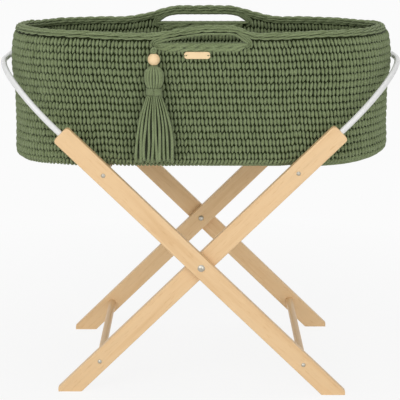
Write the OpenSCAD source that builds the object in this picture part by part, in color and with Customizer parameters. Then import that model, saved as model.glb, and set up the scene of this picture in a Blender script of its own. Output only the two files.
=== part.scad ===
// Folding wooden stand with a soft crocheted basket that lies between its rails.
// Millimetres. X runs along the basket, Y from front to back, Z up.
// The origin is on the floor, midway between the feet, under the pivots.

/* [Legs] */
// Width of a leg's broad face
leg_w = 40; // [32:1:48]
// Thickness of a leg
leg_t = 18; // [16:1:24]
// Rounding of a leg's long edges
leg_edge_r = 2.5; // [1:0.5:4]
// Rounding of the corners at a leg's upper end
leg_end_r = 8; // [3:1:12]
// Angle between a leg and the floor, in degrees
leg_angle = 44.5; // [40:0.5:50]
// Height of the pivots above the floor
pivot_h = 271; // [240:1:300]
// Extra length of a leg above the pivot, over its length below the pivot
leg_extra = 3.6; // [0:0.2:30]
// Height of the blunt face at a foot's toe
foot_blunt = 8; // [4:1:18]

/* [Pivots] */
// Diameter of the pivot bolt's shank
pivot_d = 8; // [6:0.5:10]
// Diameter of the thread that holds the cap nut
thread_d = 6; // [4:0.5:6]
// Diameter of the pivot bolt's head
head_d = 15; // [13:0.5:20]
// Height of the pivot bolt's head
head_h = 3.6; // [2.5:0.1:5]
// Width across the flats of the head's hexagon socket
socket_af = 5; // [3:0.5:6]
// Depth of the head's hexagon socket
socket_depth = 2; // [1:0.1:2.4]
// Diameter of the cap nut
nut_d = 13; // [12:0.5:18]
// Height of the cap nut
nut_h = 5; // [4:0.5:7]
// Diameter of the washer between two legs
washer_d = 24; // [16:1:30]
// Thickness of the washer between two legs
washer_t = 2; // [1:0.5:4]

/* [Cross dowels] */
// Diameter of a cross dowel
dowel_d = 16; // [12:1:22]
// Distance along a leg from its upper end to the upper dowel
dowel_from_top = 118; // [100:1:135]
// Distance along a leg from the floor to the lower dowel
dowel_from_foot = 93.2; // [80:0.2:120]
// Depth that a dowel enters its leg
dowel_seat = 6; // [3:1:8]
// Diameter of a dowel screw's shank
screw_d = 4; // [3:0.5:5]
// Length of a dowel screw inside the dowel
screw_grip = 26; // [15:1:40]
// Diameter of a dowel screw's head
screw_head_d = 9; // [7:0.5:12]
// Height of a dowel screw's head
screw_head_h = 2.6; // [2:0.1:3.5]
// Width of a slot in a dowel screw's cross recess
recess_w = 1.2; // [0.8:0.1:1.6]
// Length of a slot in a dowel screw's cross recess
recess_l = 4.6; // [3:0.1:5.5]
// Depth of a dowel screw's cross recess
recess_depth = 1.3; // [0.6:0.1:1.6]

/* [Rails] */
// Outside diameter of a rail's tube
rail_d = 12; // [10:0.5:14]
// Wall of a rail's tube
rail_wall = 1.5; // [1:0.1:2]
// How much a rail's tube thins in its bends, on each face
bend_thin = 0.05; // [0.02:0.01:0.1]
// Straight part of a rail between its leg and its bend
rail_straight = 9; // [5:1:60]
// Depth that a rail enters its leg
rail_seat = 60; // [40:1:80]

/* [Straps] */
// Width of a webbing strap
strap_w = 38; // [25:1:60]
// Thickness of a webbing strap
strap_t = 2; // [1:0.5:3]
// Distance of each strap's middle from the side of the basket
strap_inset = 90; // [60:1:120]
// Length of a strap's sewn hem beside its loop
strap_hem = 42; // [25:1:60]

/* [Basket] */
// Outside length of the basket
basket_l = 800; // [740:5:800]
// Outside width of the basket
basket_w = 370; // [340:5:400]
// Height of the basket's rim above its bottom
basket_h = 271; // [240:1:300]
// Lean of each end of the basket, from its belly in to the rim
end_lean = 12; // [0:1:24]
// Height of the basket's belly, where it is longest
belly_h = 200; // [100:5:210]
// Thickness of the crocheted wall
wall_t = 14; // [10:1:20]
// Thickness of the crocheted base
base_t = 12; // [8:1:18]
// Rounding between the wall and the base
bottom_r = 20; // [18:1:40]
// Width of the rim's edging
rim_w = 20; // [18:1:24]
// Height of the rim's edging
rim_h = 16; // [12:1:20]
// Rise of the rim over each handle
handle_rise = 15; // [10:1:30]
// Length of the level part of each handle
handle_flat = 90; // [60:5:120]
// Length of the slope at each end of a handle
handle_slope = 72; // [40:1:90]
// Height of a handle's slot at its middle
slot_h = 20; // [14:1:30]
// Length of a handle's slot
slot_l = 176; // [140:1:190]

/* [Tag and tassel] */
// Length of the blank tag
tag_l = 52; // [40:1:70]
// Height of the blank tag
tag_h = 14; // [12:1:24]
// Thickness of the blank tag
tag_t = 2.5; // [1.5:0.5:4]
// Rounding of the tag's corners
tag_r = 6; // [2:0.5:6]
// Diameter of the tag's two sewing holes
tag_hole_d = 2.4; // [1.5:0.1:3]
// Distance of the tag's middle from the middle of the basket
tag_x = -8; // [-30:1:30]
// Distance of the tag's middle below the rim
tag_drop = 48; // [45:1:100]
// Distance of the tassel from the middle of the basket
tassel_x = -93; // [-140:1:-80]
// Distance of the bead's middle below the rim
bead_drop = 54; // [48:1:80]
// Diameter of the wooden bead
bead_d = 24; // [18:1:28]
// Height of the bead between its flat ends
bead_h = 22; // [14:1:22]
// Diameter of the bead's bore
bead_bore = 5; // [4:0.5:7]
// Diameter of the cord that carries the tassel
cord_d = 4; // [3:0.5:4.5]
// Height of the tassel's round head
tassel_head_h = 43; // [35:1:55]
// Height of the binding round the tassel's neck
tassel_wrap_h = 16; // [10:1:24]
// Number of turns of cord in the binding
wrap_turns = 5; // [3:1:8]
// Length of the tassel's skirt
tassel_skirt_h = 135; // [100:1:140]
// Width of the tassel's head
tassel_head_w = 40; // [32:1:46]
// Width of the tassel's neck
tassel_neck_w = 33; // [26:1:36]
// Width of the tassel's skirt at its lower end
tassel_skirt_w = 80; // [60:1:90]
// Depth of the tassel from front to back
tassel_depth = 34; // [24:1:38]
// Number of cords seen round the tassel
tassel_cords = 22; // [12:1:30]

/* [Clearances] */
// Gap between the basket's side and the inner legs
side_gap = 5; // [3:0.5:12]
// Gap between the basket's longest part and a rail's bar
rail_gap = 1.5; // [1:0.1:30]
// Play on each side of the washer between two legs
washer_play = 0.1; // [0.1:0.05:0.5]
// Radial clearance of the pivot bolt
pivot_clear = 0.05; // [0.02:0.01:0.1]
// Radial clearance of glued and screwed seats
seat_clear = 0.1; // [0.05:0.05:0.3]
// Gap between two turns of the tassel's binding
wrap_gap = 0.6; // [0.5:0.1:1]
// Gap between soft pieces and what they lie on
soft_gap = 0.3; // [0.2:0.1:0.6]

/* [Hidden] */
$fn = 64;

wood = "burlywood";
steel = "silver";
lacquer = "white";
webbing = "ivory";
yarn = "darkolivegreen";
nylon = "whitesmoke";

// Places of the legs from front to back
inner_face = basket_w / 2 + side_gap;
leg_gap = washer_t + 2 * washer_play;
inner_y = inner_face + leg_t / 2;
outer_y = inner_y + leg_t + leg_gap;

// Leg outline: where its middle line meets the floor, and the toe's blunt face
leg_below = pivot_h / sin(leg_angle);
leg_top = leg_below + leg_extra;
leg_foot = leg_below + leg_w / tan(leg_angle);
toe_tip_x = pivot_h / tan(leg_angle) + leg_w / (2 * sin(leg_angle));
toe_x = toe_tip_x - foot_blunt / tan(leg_angle);
cut_size = 2 * leg_foot + leg_top;

// Rails: hoops that follow the basket's round ends and stand clear of them
rail_reach = round(10 * (basket_l / 2 + rail_gap + rail_d / 2) / cos(leg_angle)) / 10;
rail_bend_r = floor(min(inner_y - rail_d, rail_reach - leg_top - rail_straight));
rail_from = floor(leg_top) - rail_seat;

// Cross dowels, and the basket that lies on the straps round the upper ones
dowel_up = leg_top - dowel_from_top;
dowel_down = leg_below - dowel_from_foot;
strap_off = basket_w / 2 - strap_inset;
dowel_x = dowel_up * cos(leg_angle);
dowel_z = pivot_h + dowel_up * sin(leg_angle);
loop_r = dowel_d / 2 + soft_gap;
basket_z = dowel_z + loop_r + strap_t + soft_gap;

// Basket plan: a straight middle between two round ends
half_w = basket_w / 2;
straight = (basket_l - basket_w) / 2;
wall_top = basket_h - rim_h;
straight_steps = 36;
end_steps = 30;
toe_steps = 5;
rim_steps = 8;
wall_levels = 6;

// Tassel: heights of its pieces above the basket's bottom
front_face = -half_w - soft_gap;
tag_z = basket_h - tag_drop;
bead_z = basket_h - bead_drop;
peg_len = tassel_depth / 2 + cord_d;
eye_r = cord_d + soft_gap;
peg_z = bead_z + bead_h / 2 + soft_gap + cord_d / 2 + eye_r;
head_top_z = bead_z - bead_h / 2 - soft_gap;
wrap_top_z = head_top_z - tassel_head_h;
skirt_top_z = wrap_top_z - tassel_wrap_h;
tassel_y = front_face - tassel_depth / 2;
flute_steps = 5;
flute_depth = 0.14;
neck_depth = tassel_depth * tassel_neck_w / tassel_head_w;
wrap_cord_d = (tassel_wrap_h - soft_gap - wrap_turns * wrap_gap) / (wrap_turns + 1);
turn_steps = 24;
cord_sides = 6;

// Carries a frame's own X, along its leg from the pivot, to the inner frame's place
module in_frame() {
    translate([0, 0, pivot_h]) rotate([0, -leg_angle, 0]) children();
}

// The outer frame is the inner one mirrored from right to left
module outer_frame() {
    mirror([1, 0, 0]) children();
}

// A back piece, mirrored to make the front one
module to_front() {
    mirror([0, 1, 0]) children();
}

// A cylinder along Y from y0 to y1
module along_y(d, y0, y1) {
    translate([0, y1, 0]) rotate([90, 0, 0]) cylinder(d = d, h = y1 - y0);
}

// A rectangle with round corners, centred
module round_rect(w, h, r) {
    square([w - 2 * r, h], center = true);
    square([w, h - 2 * r], center = true);
    for (x = [-1, 1], y = [-1, 1])
        translate([x * (w / 2 - r), y * (h / 2 - r)]) circle(r);
}

// A leg before it is drilled and cut, with its pivot at the origin and its upper end along X
module leg_bar() {
    length = leg_foot + leg_top;
    intersection() {
        translate([-leg_foot, 0, 0]) rotate([90, 0, 90]) linear_extrude(length)
            round_rect(leg_t, leg_w, leg_edge_r);
        translate([(leg_top - leg_foot) / 2, leg_t / 2, 0]) rotate([90, 0, 0])
            linear_extrude(leg_t) round_rect(length, leg_w, leg_end_r);
    }
}

// Bores of a leg whose middle lies at y and whose outer side is towards +Y
module leg_bores(y) {
    inside = y - leg_t / 2;
    outside = y + leg_t / 2;
    along_y(pivot_d + 2 * pivot_clear, inside - leg_t, outside + leg_t);
    for (x = [-dowel_down, dowel_up]) translate([x, 0, 0]) {
        along_y(dowel_d + 2 * seat_clear, inside - leg_t, inside + dowel_seat);
        along_y(screw_d + 2 * seat_clear, inside, outside + leg_t);
    }
    translate([rail_from, y, 0]) rotate([0, 90, 0])
        cylinder(d = rail_d + 2 * seat_clear, h = 2 * rail_seat);
}

// A back leg of the inner frame: standing on the floor, with a blunt toe
module leg(y) {
    color(wood) difference() {
        in_frame() translate([0, y, 0]) leg_bar();
        in_frame() leg_bores(y);
        translate([-cut_size / 2, 0, -cut_size]) cube(cut_size);
        translate([-toe_x - cut_size, 0, -cut_size / 2]) cube(cut_size);
    }
}

// Section of a rail's tube, thinned on each face
module tube_ring(thin = 0) {
    difference() {
        circle(d = rail_d - 2 * thin);
        circle(d = rail_d - 2 * rail_wall + 2 * thin);
    }
}

// A rail: two shanks in the legs at +y and -y, two bends and the bar between them
module rail(y) {
    bend_at = rail_reach - rail_bend_r;
    bar = y - rail_bend_r;
    color(lacquer) in_frame() {
        for (side = [-1, 1]) {
            translate([rail_from, side * y, 0]) rotate([0, 90, 0])
                linear_extrude(bend_at - rail_from) tube_ring();
            translate([bend_at, side * bar, 0]) rotate([0, 0, side > 0 ? 0 : -90])
                rotate_extrude(angle = 90) translate([rail_bend_r, 0]) tube_ring(bend_thin);
        }
        translate([rail_reach, bar, 0]) rotate([90, 0, 0]) linear_extrude(2 * bar) tube_ring();
    }
}

// A cross dowel between two legs of one frame, with a pilot hole in each end
module dowel(x, y) {
    half = y - leg_t / 2 + dowel_seat;
    color(wood) in_frame() translate([x, 0, 0]) difference() {
        along_y(dowel_d, -half, half);
        for (side = [0, 1]) mirror([0, side, 0])
            along_y(screw_d + 2 * seat_clear, half - screw_grip - seat_clear, half + dowel_seat);
    }
}

// A domed head that rises along Y from the face at y
module domed_head(d, h, y) {
    ball_r = (d * d / 4 + h * h) / (2 * h);
    translate([0, y, 0]) rotate([-90, 0, 0]) intersection() {
        translate([0, 0, h - ball_r]) sphere(ball_r);
        cylinder(d = d, h = h);
    }
}

// The two screws that hold one cross dowel
module dowel_screws(x, y) {
    face = y + leg_t / 2;
    tip = y - leg_t / 2 + dowel_seat - screw_grip;
    color(steel) in_frame() translate([x, 0, 0]) for (side = [0, 1]) mirror([0, side, 0]) {
        along_y(screw_d, tip, face);
        difference() {
            domed_head(screw_head_d, screw_head_h, face);
            for (turn = [0, 90]) rotate([0, turn, 0])
                translate([-recess_l / 2, face + screw_head_h - recess_depth, -recess_w / 2])
                    cube([recess_l, screw_head_h, recess_w]);
        }
    }
}

// A pivot bolt: head outside the outer leg, shank through both legs, thread in the cap nut
module pivot_bolt() {
    face = outer_y + leg_t / 2;
    shank_end = inner_face - washer_play;
    thread_end = shank_end - nut_h / 2;
    color(steel) translate([0, 0, pivot_h]) {
        along_y(pivot_d, shank_end, face);
        along_y(thread_d, thread_end, shank_end);
        difference() {
            domed_head(head_d, head_h, face);
            translate([0, face + head_h - socket_depth, 0]) rotate([-90, 0, 0])
                cylinder(d = socket_af / cos(30), h = head_h, $fn = 6);
        }
    }
}

// The cap nut on the inner leg's inner face
module pivot_nut() {
    seat = inner_face - washer_play;
    color(steel) translate([0, 0, pivot_h]) difference() {
        translate([0, 2 * seat, 0]) to_front() domed_head(nut_d, nut_h, seat);
        along_y(thread_d + 2 * seat_clear, seat - nut_h / 2 - seat_clear, seat + nut_h);
    }
}

// The washer that keeps the two legs apart
module pivot_washer() {
    face = inner_y + leg_t / 2 + washer_play;
    color(nylon) translate([0, 0, pivot_h]) difference() {
        along_y(washer_d, face, face + washer_t);
        along_y(pivot_d + 2 * seat_clear, face - washer_t, face + 2 * washer_t);
    }
}

// Outline of a strap: a band between two loops, with a doubled hem beside each loop
module strap_outline() {
    difference() {
        union() {
            translate([-dowel_x, loop_r]) square([2 * dowel_x, strap_t]);
            for (side = [-1, 1]) translate([side * dowel_x, 0]) {
                circle(loop_r + strap_t);
                translate([side > 0 ? -loop_r - strap_hem : 0, loop_r - strap_t])
                    square([loop_r + strap_hem, strap_t]);
            }
        }
        for (side = [-1, 1]) translate([side * dowel_x, 0]) circle(loop_r);
    }
}

// A webbing strap that ties the two upper dowels together and carries the basket
module strap(y) {
    color(webbing) translate([0, y + strap_w / 2, dowel_z]) rotate([90, 0, 0])
        linear_extrude(strap_w) strap_outline();
}

// Height of the rim above its level at a distance x along a long side
function rise(x) =
    let (run = (abs(x) - handle_flat / 2) / handle_slope)
    handle_rise * (1 + cos(180 * min(1, max(0, run)))) / 2;

// Stations round the plan, each with its middle along X, its outward direction and its rise
function side_stations(dir) = [
    for (i = [0 : straight_steps - 1])
        let (x = -dir * straight * (1 - 2 * i / straight_steps))
        [x, [0, -dir], rise(x * (1 - end_lean / straight))]
];
function end_stations(dir) = [
    for (i = [0 : end_steps - 1])
        let (a = 180 * i / end_steps)
        [dir * straight, [dir * sin(a), -dir * cos(a)], 0]
];
STATIONS = concat(side_stations(1), end_stations(1), side_stations(-1), end_stations(-1));

// How far an end curves in at height z
function lean(z) = end_lean * pow(max(0, z - belly_h) / (basket_h - belly_h), 2);

// A point at a station, at distance r from the middle line and height z, lifted by its share of the rise
function at_station(s, r, z, share) =
    [s[0] * (1 - lean(z) / straight) + r * s[1][0], r * s[1][1], z + share * s[2]];

// A closed band round the plan: every station carries the same loop of [r, z, share] points
module band(loop) {
    n = len(STATIONS);
    m = len(loop);
    points = [for (s = STATIONS) for (p = loop) at_station(s, p[0], p[1], p[2])];
    faces = [
        for (i = [0 : n - 1]) for (j = [0 : m - 1])
            let (i2 = (i + 1) % n, j2 = (j + 1) % m, a = i * m + j, b = i * m + j2)
            let (c = i2 * m + j2, d = i2 * m + j)
            each [[a, b, c], [a, c, d]]
    ];
    polyhedron(points, faces, convexity = 8);
}

// Quarter round of radius r that leads from the base up into the wall
function toe_arc(r) = [
    for (i = [0 : toe_steps])
        let (a = 90 * i / toe_steps)
        [half_w - bottom_r + r * sin(a), bottom_r - r * cos(a), 0]
];
function reversed(list) = [for (i = [len(list) - 1 : -1 : 0]) list[i]];
function wall_line(r) = [
    for (i = [1 : wall_levels])
        [r, bottom_r + (wall_top - bottom_r) * i / wall_levels, i / wall_levels]
];
WALL_LOOP = concat(
    toe_arc(bottom_r), wall_line(half_w),
    reversed(wall_line(half_w - wall_t)), reversed(toe_arc(bottom_r - wall_t))
);

// The slot of a handle: level below, and open to the rim above
module slot_outline() {
    floor_z = wall_top + handle_rise - slot_h;
    translate([-slot_l / 2, floor_z]) square([slot_l, rim_h + slot_h]);
}

// The crocheted wall, with a slot through each long side under the handle
module basket_wall() {
    color(yarn) translate([0, 0, basket_z]) difference() {
        band(WALL_LOOP);
        translate([0, basket_w, 0]) rotate([90, 0, 0])
            linear_extrude(2 * basket_w) slot_outline();
    }
}

// The crocheted base inside the foot of the wall
module basket_base() {
    r = half_w - bottom_r - soft_gap;
    color(yarn) translate([0, 0, basket_z]) linear_extrude(base_t) {
        square([2 * straight, 2 * r], center = true);
        for (side = [-1, 1]) translate([side * straight, 0]) circle(r, $fn = 120);
    }
}

// The thick edging that runs round the rim and over the handles
module rim_edging() {
    middle = half_w - wall_t / 2;
    loop = [
        for (i = [0 : rim_steps])
            let (a = 180 * i / rim_steps)
            [middle + rim_w / 2 * cos(a), wall_top + soft_gap + (rim_h - soft_gap) * sin(a), 1]
    ];
    color(yarn) translate([0, 0, basket_z]) band(loop);
}

// A bare wooden tag on the front of the basket
module blank_tag() {
    hole_x = tag_l / 2 - tag_r;
    color(wood) translate([tag_x, front_face, basket_z + tag_z]) rotate([90, 0, 0])
        linear_extrude(tag_t) difference() {
            round_rect(tag_l, tag_h, tag_r);
            for (side = [-1, 1]) translate([side * hole_x, 0]) circle(d = tag_hole_d);
        }
}

// Carries the tassel's own X to its place along the basket
module in_tassel() {
    translate([tassel_x, 0, basket_z]) children();
}

// The cord end that sticks out of the wall, and that the tassel hangs from
module tassel_peg() {
    color(yarn) in_tassel() translate([0, 0, peg_z])
        along_y(cord_d, front_face - peg_len, front_face);
}

// The wooden bead on the tassel's cord
module tassel_bead() {
    color(wood) in_tassel() translate([0, tassel_y, bead_z]) difference() {
        intersection() {
            sphere(d = bead_d);
            cube([bead_d, bead_d, bead_h], center = true);
        }
        cylinder(d = bead_bore, h = 2 * bead_d, center = true);
    }
}

// The tassel's cord: an eye round the peg, and a stem through the bead
module tassel_cord() {
    stem_top = peg_z - eye_r;
    color(yarn) in_tassel() translate([0, tassel_y, 0]) {
        translate([0, 0, peg_z]) rotate([90, 0, 0]) rotate_extrude()
            translate([eye_r, 0]) circle(d = cord_d);
        translate([0, 0, head_top_z]) cylinder(d = cord_d, h = stem_top - head_top_z);
    }
}

// A fluted body: every level is [z, half width, half depth, distance of its middle from the wall]
module fluted(levels) {
    n = tassel_cords * flute_steps;
    points = concat(
        [for (l = levels) for (i = [0 : n - 1])
            let (a = 360 * i / n, k = 1 - flute_depth * (1 - cos(tassel_cords * a)) / 2)
            [k * l[1] * cos(a), front_face - l[3] + k * l[2] * sin(a), l[0]]],
        [for (l = [levels[0], levels[len(levels) - 1]]) [0, front_face - l[3], l[0]]]
    );
    top = len(levels) * n;
    last = (len(levels) - 1) * n;
    faces = concat(
        [for (i = [0 : n - 1]) [top, (i + 1) % n, i]],
        [for (l = [0 : len(levels) - 2]) for (i = [0 : n - 1])
            let (a = l * n + i, b = l * n + (i + 1) % n)
            each [[a, b, b + n], [a, b + n, a + n]]],
        [for (i = [0 : n - 1]) [top + 1, last + i, last + (i + 1) % n]]
    );
    color(yarn) in_tassel() polyhedron(points, faces, convexity = 6);
}

// The round head of looped cords, and the neck under it that the binding goes round
module tassel_head() {
    crown = [
        for (t = [0 : 0.2 : 0.8])
            let (k = sin(28 + 117 * t))
            [head_top_z - t * tassel_head_h, k * tassel_head_w / 2, k * tassel_depth / 2, tassel_depth / 2]
    ];
    inset = wrap_cord_d + soft_gap;
    fluted(concat(crown, [
        [wrap_top_z, tassel_neck_w / 2, neck_depth / 2, tassel_depth / 2],
        [wrap_top_z, tassel_neck_w / 2 - inset, neck_depth / 2 - inset, tassel_depth / 2],
        [skirt_top_z, tassel_neck_w / 2 - inset, neck_depth / 2 - inset, tassel_depth / 2]
    ]));
}

// Middle of the binding's cord after i steps
function wrap_point(i) =
    let (a = 360 * i / turn_steps, drop = (wrap_cord_d + wrap_gap) * i / turn_steps)
    [(tassel_neck_w - wrap_cord_d) / 2 * cos(a),
     tassel_y + (neck_depth - wrap_cord_d) / 2 * sin(a),
     wrap_top_z - soft_gap - wrap_cord_d / 2 - drop];

// The binding wound round the tassel's neck, one unbroken cord
module tassel_wrap() {
    last = wrap_turns * turn_steps;
    path = [for (i = [0 : last]) wrap_point(i)];
    apart = [
        for (i = [0 : last]) for (k = [i + turn_steps / 2 : 1 : last]) norm(path[k] - path[i])
    ];
    echo("least gap of the binding to itself", min(apart) - wrap_cord_d);
    points = [
        for (i = [0 : last]) for (j = [0 : cord_sides - 1])
            let (a = 360 * i / turn_steps, b = 360 * j / cord_sides)
            path[i] + wrap_cord_d / 2 * [cos(b) * cos(a), cos(b) * sin(a), sin(b)]
    ];
    faces = concat(
        [for (j = [1 : cord_sides - 2]) [0, j + 1, j]],
        [for (i = [0 : last - 1]) for (j = [0 : cord_sides - 1])
            let (a = i * cord_sides + j, b = i * cord_sides + (j + 1) % cord_sides)
            each [[a, b, b + cord_sides], [a, b + cord_sides, a + cord_sides]]],
        [for (j = [1 : cord_sides - 2]) [0, j, j + 1] + last * cord_sides * [1, 1, 1]]
    );
    color(yarn) in_tassel() polyhedron(points, faces, convexity = 10);
}

// The hanging cords, spreading from the neck to the lower end
module tassel_skirt() {
    fluted([
        for (i = [0 : 6])
            let (t = i / 6, spread = sin(90 * t), half_d = (neck_depth + (tassel_depth - neck_depth) * spread) / 2)
            [skirt_top_z - soft_gap - t * (tassel_skirt_h - soft_gap),
             tassel_neck_w / 2 + (tassel_skirt_w - tassel_neck_w) / 2 * (0.35 * t + 0.65 * spread),
             half_d, tassel_depth / 2]
    ]);
}

outer_frame() to_front() leg(outer_y);  // outer_leg_front
outer_frame() leg(outer_y);  // outer_leg_back
to_front() leg(inner_y);  // inner_leg_front
leg(inner_y);  // inner_leg_back
outer_frame() rail(outer_y);  // outer_rail
rail(inner_y);  // inner_rail
outer_frame() dowel(dowel_up, outer_y);  // outer_upper_dowel
outer_frame() dowel(-dowel_down, outer_y);  // outer_lower_dowel
dowel(dowel_up, inner_y);  // inner_upper_dowel
dowel(-dowel_down, inner_y);  // inner_lower_dowel
to_front() pivot_bolt();  // pivot_bolt_front
pivot_bolt();  // pivot_bolt_back
to_front() pivot_nut();  // pivot_nut_front
pivot_nut();  // pivot_nut_back
to_front() pivot_washer();  // pivot_washer_front
pivot_washer();  // pivot_washer_back
outer_frame() dowel_screws(dowel_up, outer_y);  // outer_upper_screws
outer_frame() dowel_screws(-dowel_down, outer_y);  // outer_lower_screws
dowel_screws(dowel_up, inner_y);  // inner_upper_screws
dowel_screws(-dowel_down, inner_y);  // inner_lower_screws
strap(-strap_off);  // strap_front
strap(strap_off);  // strap_back
basket_wall();
basket_base();
rim_edging();
blank_tag();
tassel_peg();
tassel_bead();
tassel_cord();
tassel_head();
tassel_wrap();
tassel_skirt();
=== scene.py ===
"""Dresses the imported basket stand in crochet, cord, webbing, wood, lacquer and steel, and lights it."""

import math

import bpy
import numpy as np
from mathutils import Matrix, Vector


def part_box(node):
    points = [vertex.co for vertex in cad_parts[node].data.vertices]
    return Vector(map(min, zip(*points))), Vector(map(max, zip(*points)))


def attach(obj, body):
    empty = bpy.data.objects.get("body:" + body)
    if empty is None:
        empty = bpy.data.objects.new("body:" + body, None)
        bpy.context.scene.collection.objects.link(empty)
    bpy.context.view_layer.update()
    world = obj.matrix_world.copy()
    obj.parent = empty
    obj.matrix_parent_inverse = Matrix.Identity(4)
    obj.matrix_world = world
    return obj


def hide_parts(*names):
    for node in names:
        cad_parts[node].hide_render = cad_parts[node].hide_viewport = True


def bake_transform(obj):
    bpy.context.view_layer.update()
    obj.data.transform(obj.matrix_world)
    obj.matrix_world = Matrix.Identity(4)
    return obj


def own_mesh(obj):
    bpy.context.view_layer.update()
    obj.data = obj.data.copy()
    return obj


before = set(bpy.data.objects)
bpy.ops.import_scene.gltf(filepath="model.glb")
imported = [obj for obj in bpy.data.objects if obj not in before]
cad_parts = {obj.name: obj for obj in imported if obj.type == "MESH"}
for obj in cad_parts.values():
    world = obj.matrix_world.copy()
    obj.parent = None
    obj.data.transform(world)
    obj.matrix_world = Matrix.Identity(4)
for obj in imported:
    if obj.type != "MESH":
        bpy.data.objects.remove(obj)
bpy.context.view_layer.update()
rng = np.random.default_rng(7)

# Basket: the same sizes as the solids, in metres
WALL_LOW, WALL_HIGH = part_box("basket_wall")
HALF_W = WALL_HIGH[1]
STRAIGHT = WALL_HIGH[0] - HALF_W
BASE_Z = WALL_LOW[2]
BASKET_H = 0.271
WALL_T = 0.014
WALL_MIDDLE = HALF_W - WALL_T / 2
TOE_R = 0.020
TOE_ARC = TOE_R * math.pi / 2
RIM_H = 0.016
RIM_W = 0.020
# Way up the wall from the edge of the base, at the base's middle line and at the wall's top
MIDDLE_V = TOE_R - HALF_W
WALL_TOP_V = TOE_ARC + BASKET_H - RIM_H - TOE_R
HANDLE_RISE = 0.015
SLOT_L = 0.176
SLOT_H = 0.020
SLOT_FLOOR = BASKET_H - RIM_H + HANDLE_RISE - SLOT_H

# Round ends: they lean in over the belly, are drawn in at a waist under it and flare at the foot
BELLY_H = 0.200
END_LEAN = 0.012
WAIST = 0.0055
WAIST_SPAN = (0.188, 0.133)
FLARE = 0.0025
FLARE_H = 0.070
# How far the rim stands in at the left and the right end, besides the lean
RIM_INSET = (0.0055, 0.0085)

# Height of each handle over the rim, and where along X it starts, comes level, leaves level and ends
FRONT_HANDLE = (0.0150, (-0.110, 0.020, 0.055, 0.112))
BACK_HANDLE = (0.0190, (-0.144, -0.044, 0.052, 0.156))
# Heights between which the wall comes to rise with a handle
LIFT_SPAN = (SLOT_FLOOR - 0.012, SLOT_FLOOR + 0.008)
# How far the soft rim settles at the front and at each half of the back, and the same four places
FRONT_SAG = (0.0045, (-0.250, -0.140, 0.140, 0.250))
BACK_SAG = (0.0055, (0.120, 0.180, 0.345, 0.388))

# How far the edge of the base hangs, and between which distances from the middle line it comes to that
EDGE_SAG = 0.0045
EDGE_SPAN = (0.125, 0.160)
# How near to a dowel the edge is carried, and how much of the hang the dowel takes away
DOWEL_NEAR = 0.020
DOWEL_TAKES = 0.8
# How much further it hangs at the left end and less at the right end, and where along X that comes in
END_HANG = 0.006
END_SPAN = (0.29, 0.38)

# Slots: front is -1 and back is 1. Their ends along X, and how far each lower edge lies under the floor
SLOT_ENDS = {-1: (-0.093, 0.093), 1: (-0.099, 0.106)}
SLOT_SINK = {-1: 0.0030, 1: -0.0005}
# How far from its ends a slot narrows, its share of height there, and how far it goes into the rim
SLOT_TAPER = 0.026
SLOT_END_SHARE = 0.4
SLOT_IN_RIM = 0.0010
# How far beside and under a slot the stitches end, and how far the sheet of painted shade behind them goes
# on into its ends
SLOT_SPARE = 0.002
SLOT_LIP = 0.006
SHADE_SHEET_IN_SLOT = 0.005
# Half height and half width of the edging round a slot, and the radius that its stitches turn on
SLOT_EDGE_H = 0.0050
SLOT_EDGE_W = 0.0085
SLOT_EDGE_R = 0.007
SLOT_CORD_ANGLES = (-74, -25, 25, 74)
# Further stitches that fill the corners over the slots' ends: how far out, how near an end, how high
SLOT_FILL = (0.0040, 0.0080)
CORNER_L = 0.8 * SLOT_TAPER
CORNER_H = 0.002
# Cords under a slot: how far under its floor each lies, its shift in stitches, how far its ends rise
BANDS = ((0.0040, 0.35, 0), (0.0115, 0.65, 0.006))
BAND_STITCHES = 8
# How far the cords go, where and how deep they sink into the wall, and how far they stand out before
BAND_END = SLOT_L / 2 + 0.004
BAND_TUCK_FROM = SLOT_L / 2 - 0.016
BAND_TUCK = 0.008
BAND_PROUD = 0.0010
UNEVEN_BAND = 0.002

# Stitches: width and height of one, and how far each round is shifted, in stitches
STITCH = 0.01555
ROW = WALL_TOP_V / 19
ROUND_SHIFT = -0.11
# Leaves of a stitch: half width, half thickness, length, and how deep they dive in at the foot and the head
LEAF_W = 0.240 * STITCH
LEAF_T = 0.0064
LEAF_L = 1.06 * ROW
LEAF_FOOT_DIVE = 0.0040
LEAF_HEAD_DIVE = 0.0034
# How uneven the stitches are: their places in stitches, their sizes, tilts and depths
UNEVEN_PLACE = 0.03
UNEVEN_SIZE = 0.035
UNEVEN_TILT = 0.06
UNEVEN_DEPTH = 0.0003
# How much wider than on the long sides a stitch is in the middle of a round end
END_STRETCH = 0.4
# Least distance from the middle line, where the rounds of the base close up
LEAST_R = 0.00001
# Cords of the rim: their number, the first one's angle and the step to the next in degrees
RIM_CORDS = 6
RIM_FIRST_ANGLE = -24
RIM_ANGLE_STEP = 52
# Stitches of the rim: way from one to the next, each cord's shift in stitches, how far they stand out
RIM_STITCH = 1.5 * STITCH
RIM_SHIFT = 0.45
RIM_PROUD = 0.0005
# How uneven they are: their places in stitches, their angles and how far they stand out
UNEVEN_RIM_PLACE = 0.08
UNEVEN_RIM_ANGLE = 0.05
UNEVEN_RIM_PROUD = 0.0002
# How far in the rim's core of painted shade lies
RIM_CORE_SUNK = 0.0035
# Texture places that every cord carries
YARN_UV = "yarn"

# Stand
LEG_ANGLE = math.radians(44.5)
DOWEL_R = 0.008
DOWEL_X = sum(corner[0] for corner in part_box("inner_upper_dowel")) / 2
STRAP_T = 0.002
STRAP_HEM = 0.042
STRAP_PLAY = 0.0003
LOOP_OUTER_R = DOWEL_R + STRAP_PLAY + STRAP_T
LOOP_R = LOOP_OUTER_R - STRAP_T / 2
HEM_Z = LOOP_R - STRAP_T


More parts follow.
